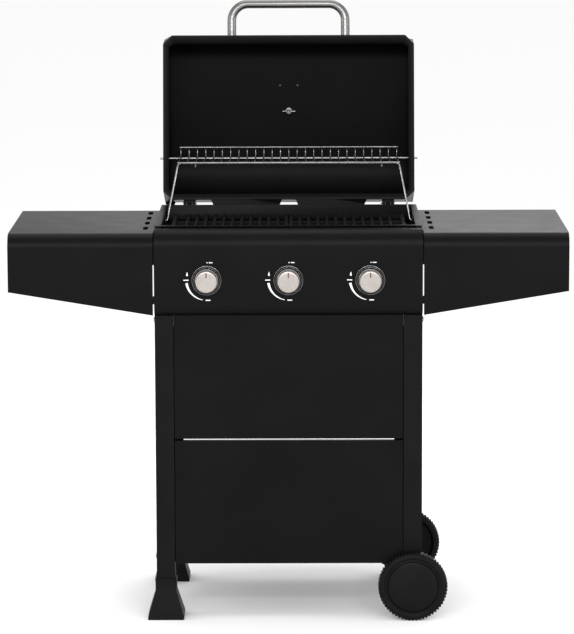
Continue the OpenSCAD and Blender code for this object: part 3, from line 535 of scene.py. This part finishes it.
KNOB_NAMES = ("left", "middle", "right")
for k in KNOB_NAMES:
    low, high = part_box(k + "_knob")
    x, z, back, front = (low.x + high.x) / 2, (low.z + high.z) / 2, high.y, low.y
    reach = (back - front) / MM
    cap = rounded([(4.05, 0), (24.9, 0), (24.9, 3.2), (23.6, 4.4), (22.9, reach - 1.2), (19, reach - 0.5),
                   (0, reach)], 1.6)
    bore = [(4.05, 0), (4.05, reach - 7), (0, reach - 7)]
    bm = turned([(list(reversed(bore))[:-1] + cap, False)], (x, back, z), (0, -1, 0))
    knob = as_piece(bm, k + "_knob_cap", finish["knob_silver"], k + "_knob", 50)
    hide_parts(k + "_knob")

    bm = bmesh.new()
    bmesh.ops.create_cube(bm, size=1)
    bmesh.ops.scale(bm, verts=bm.verts, vec=(2.4 * MM, 0.5 * MM, 11 * MM))
    bmesh.ops.translate(bm, verts=bm.verts, vec=(x, front + 0.35 * MM, z + 15 * MM))
    bmesh.ops.rotate(bm, verts=bm.verts, cent=(x, front + 0.35 * MM, z + 15 * MM),
                     matrix=Matrix.Rotation(math.radians(-1.5), 3, "X"))
    soften(bm, 0.15)
    as_piece(bm, k + "_knob_line", maroon, k + "_knob")
print("knob reach, mm:", round(reach, 2))

# %% Bezels
panel_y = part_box("knob_bezels")[1].y
bm_all = bmesh.new()
bezel = rounded([(27.1, 0), (27.1, 3.4), (27.8, 3.4), (28.0, 1.2), (30.5, 1.2), (30.7, 3.6), (31.5, 3.4),
                 (31.95, 0)], 0.3)
for k in KNOB_NAMES:
    lo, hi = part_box(k + "_knob")
    bm = turned([(bezel, True)], ((lo.x + hi.x) / 2, panel_y, (lo.z + hi.z) / 2), (0, -1, 0), 96)
    for face in bm.faces:
        depth = (panel_y - face.calc_center_median().y) / MM
        radius = math.hypot(face.calc_center_median().x - (lo.x + hi.x) / 2,
                            face.calc_center_median().z - (lo.z + hi.z) / 2) / MM
        # the trough floor and its lower walls get the black plastic finish: painted shade in the recess
        face.material_index = 1 if 27.7 < radius < 30.8 and depth < 3.0 else 0
    scrap = bpy.data.meshes.new("scrap")
    bm.to_mesh(scrap)
    bm_all.from_mesh(scrap)
    bm.free()
# slot 1 is the black plastic finish, used here as painted shade in the troughs
bezels = as_piece(bm_all, "knob_bezel_rings", [chrome, moulded], "cart")
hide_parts("knob_bezels")

# %% [markdown]
# ## Support wire
# The wire that swings the rack is one 4 mm rod, bent cold, so its corners are arcs and not
# points. A ring of points is carried along the path, and each ring keeps its turn from the last.

# %% Support wire
def drawn_wire(points, radius, steps=14):
    """A round wire along a list of points."""
    bm = bmesh.new()
    points = [Vector(p) for p in points]
    side = (points[1] - points[0]).orthogonal()
    rings = []
    for i, p in enumerate(points):
        ahead = (points[min(i + 1, len(points) - 1)] - points[max(i - 1, 0)]).normalized()
        side = (side - ahead * side.dot(ahead)).normalized()
        turns = [2 * math.pi * k / steps for k in range(steps)]
        rings.append([bm.verts.new(p + (side * math.cos(t) + ahead.cross(side) * math.sin(t)) * radius)
                      for t in turns])
    for a, b in zip(rings, rings[1:]):
        for k in range(steps):
            bm.faces.new((a[k - 1], a[k], b[k], b[k - 1]))
    bm.faces.new(rings[0])
    bm.faces.new(rings[-1])
    bmesh.ops.recalc_face_normals(bm, faces=bm.faces)
    return bm


low, high = (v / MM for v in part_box("rack_support_wire"))
SUPPORT_R, SUPPORT_TOP_X, FOOT_REACH, SUPPORT_BEND = 2.0, 246.0, 8.0, 7
CORNER_R = SUPPORT_R * 1.06
top_y, top_z = high.y - CORNER_R, high.z - CORNER_R
foot_y, foot_z = low.y + CORNER_R, low.z + CORNER_R
half = [(SUPPORT_TOP_X, top_y, top_z), (high.x - FOOT_REACH, foot_y, foot_z), (high.x, foot_y, foot_z)]
path = rounded([(-x, y, z) for x, y, z in reversed(half)] + half, SUPPORT_BEND)
bm = drawn_wire([Vector(p) * MM for p in path], SUPPORT_R * MM)
wire = as_piece(bm, "rack_support_rod", chrome, nodes["rack_support_wire"]["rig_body"])
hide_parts("rack_support_wire")

# %% [markdown]
# ## Thermometer scale
# The dial has eleven printed ticks over three quarters of a turn. The face leans with the lid's
# front, so the ticks are placed in the plane that the dial's own points give.

# %% Thermometer scale
DIAL_FACING = Vector((0, 0.99756, 0.06976))
TICKS, SCALE_TURN = 11, 270
TICK_W, TICK_LONG, TICK_INK = 0.7, 3.2, 0.12
dial = [v.co for v in nodes["thermometer_dial"].data.vertices]
middle = sum(dial, Vector()) / len(dial)
face_at = max((p - middle).dot(DIAL_FACING) for p in dial)
rim = max((p - middle).length for p in dial)
across = Vector((1, 0, 0))
dial_axes = Matrix((across, DIAL_FACING.cross(across), DIAL_FACING)).transposed().to_4x4()
bm = bmesh.new()
for i in range(TICKS):
    longer = 1.25 if i % 5 == 0 else 1.0
    size = Vector((TICK_W, TICK_LONG * longer, TICK_INK)) * MM
    place = Vector((0, rim - 4.2 * MM, face_at + 0.05 * MM))
    turn = Matrix.Rotation(math.radians(SCALE_TURN * (i / (TICKS - 1) - 0.5)), 4, "Z")
    tick = Matrix.Translation(middle) @ dial_axes @ turn @ Matrix.Translation(place)
    bmesh.ops.create_cube(bm, size=1, matrix=tick @ Matrix.Diagonal(size).to_4x4())
as_piece(bm, "thermometer_ticks", black_ink, nodes["thermometer_dial"]["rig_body"])

# %% [markdown]
# ## Printed marks
# Beside each knob the panel carries a screen print: a tapering band that shows high to low, a
# flame for lighting, and short bars at the stops. Each is a flat face, cut from a few points or
# spun as an arc, and pushed out by the thickness of the ink.

# %% Panel print
INK = 0.12
bm = bmesh.new()


def ink_shape(points, centre):
    """A flat shape on the panel's face, from points in X and Z round a knob's centre."""
    y = panel_y - INK * MM
    bm.faces.new([bm.verts.new((centre.x + x * MM, y, centre.z + z * MM)) for x, z in points])


def bar(cx, cz, w, h):
    """A rectangle by its centre, width and height."""
    return [(cx + i * w / 2, cz + j * h / 2) for i, j in ((-1, -1), (1, -1), (1, 1), (-1, 1))]


def band(start, end, radius, wide, narrow, steps=28):
    """A band along an arc that narrows towards its end."""
    outer, inner = [], []
    for i in range(steps + 1):
        a = math.radians(start + (end - start) * i / steps)
        half = (wide + (narrow - wide) * i / steps) / 2
        outer.append(((radius + half) * math.cos(a), (radius + half) * math.sin(a)))
        inner.append(((radius - half) * math.cos(a), (radius - half) * math.sin(a)))
    return outer + inner[::-1]


FLAME = [(0, -4.6), (1.6, -3.6), (2, -1.6), (1.3, 0.6), (0.9, 2.4), (1.3, 4.8), (-0.9, 2.6), (-1.7, 0.2),
         (-2, -2.0), (-1.4, -3.8)]
dot_turns = [i / 6 * math.pi for i in range(12)]
for k in KNOB_NAMES:
    lo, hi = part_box(k + "_knob")
    centre = (lo + hi) / 2
    ink_shape(band(188, 259, 43, 5.2, 1.2), centre)
    ink_shape(bar(-44, 0.4, 11, 2.2), centre)
    ink_shape(bar(3, -43, 10, 2.2), centre)
    ink_shape(bar(9.2, 38, 8, 2.0), centre)
    ink_shape([(1.6 + 1.3 * math.cos(a), 38 + 1.3 * math.sin(a)) for a in dot_turns], centre)
    ink_shape([(x - 41.5, z + 13.5) for x, z in FLAME], centre)
grown = bmesh.ops.extrude_face_region(bm, geom=list(bm.faces))
moved = [g for g in grown["geom"] if isinstance(g, bmesh.types.BMVert)]
bmesh.ops.translate(bm, verts=moved, vec=(0, (INK - 0.02) * MM, 0))
bmesh.ops.recalc_face_normals(bm, faces=bm.faces)
as_piece(bm, "panel_print", ink, "cart")

# %% [markdown]
# ## Wheels
# Each wheel is moulded in one piece: a tyre with about sixty small lugs, a shallow trough
# inside it, and a large domed hub cap. The lugs are one bevelled block, turned and copied round
# the tread, and they stay inside the wheel's real diameter.

# %% Wheels
LUGS = 60
for k, outward in (("front", -1), ("rear", 1)):
    low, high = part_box(k + "_wheel")
    x, z = (low.x + high.x) / 2, (low.z + high.z) / 2
    inner_y = high.y if outward < 0 else low.y
    width = (high.y - low.y) / MM
    r = (high.z - low.z) / 2 / MM
    tread = r - 2.2
    tyre = rounded([(5.05, width - 5), (5.05, 0), (16, 0), (20, 12), (r - 18, 12), (r - 14, 2), (r - 5, 2),
                    (tread, 5), (tread, width - 5), (r - 5, width - 1.4), (r - 12, width - 0.6),
                    (r - 15, width - 3.6), (r - 17.5, width - 3.6), (r - 19.5, width - 1.5),
                    (r - 21.2, width - 5), (5.05, width - 5)], 1.6)
    bm = turned([(tyre[:-1], True)], (0, 0, 0), (0, 0, 1), 120)
    lug = bmesh.new()
    bmesh.ops.create_cube(lug, size=1)
    bmesh.ops.scale(lug, verts=lug.verts, vec=(4.6 * MM, 3.9 * MM, (width - 7) * MM))
    soften(lug, 0.9)
    bmesh.ops.translate(lug, verts=lug.verts, vec=((r - 2.35) * MM, 0, width / 2 * MM))
    block = bpy.data.meshes.new("lug")
    lug.to_mesh(block)
    lug.free()
    for i in range(LUGS):
        before = len(bm.verts)
        bm.from_mesh(block)
        bm.verts.ensure_lookup_table()
        bmesh.ops.rotate(bm, verts=bm.verts[before:], cent=(0, 0, 0),
                         matrix=Matrix.Rotation(math.tau * i / LUGS, 3, "Z"))
    stand = Matrix.Rotation(math.radians(90 if outward < 0 else -90), 4, "X")
    bmesh.ops.transform(bm, matrix=Matrix.Translation((x, inner_y, z)) @ stand, verts=bm.verts)
    wheel = as_piece(bm, k + "_wheel_moulded", finish["black_plastic"], k + "_wheel", 35)
    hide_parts(k + "_wheel")

    lo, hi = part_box(k + "_hub_cap")
    cap_r = (hi.z - lo.z) / 2 / MM
    dome = (hi.y - lo.y) / MM
    base_y = hi.y if outward < 0 else lo.y
    arc = [(cap_r * math.cos(a), 1.2 + (dome - 1.2) * math.sin(a)) for a in
           (math.radians(5 * i) for i in range(0, 18))]
    disc = [(0, 0), (cap_r - 0.8, 0), (cap_r - 0.2, 0.6)] + arc + [(0, dome)]
    bm = turned([(disc, False)], (x, base_y, z), (0, outward, 0), 96)
    cap = as_piece(bm, k + "_hub_cap_moulded", finish["black_plastic"], k + "_wheel", 50)
    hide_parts(k + "_hub_cap")
print("wheel radius, mm:", round(r, 1), "cap radius:", round(cap_r, 1))
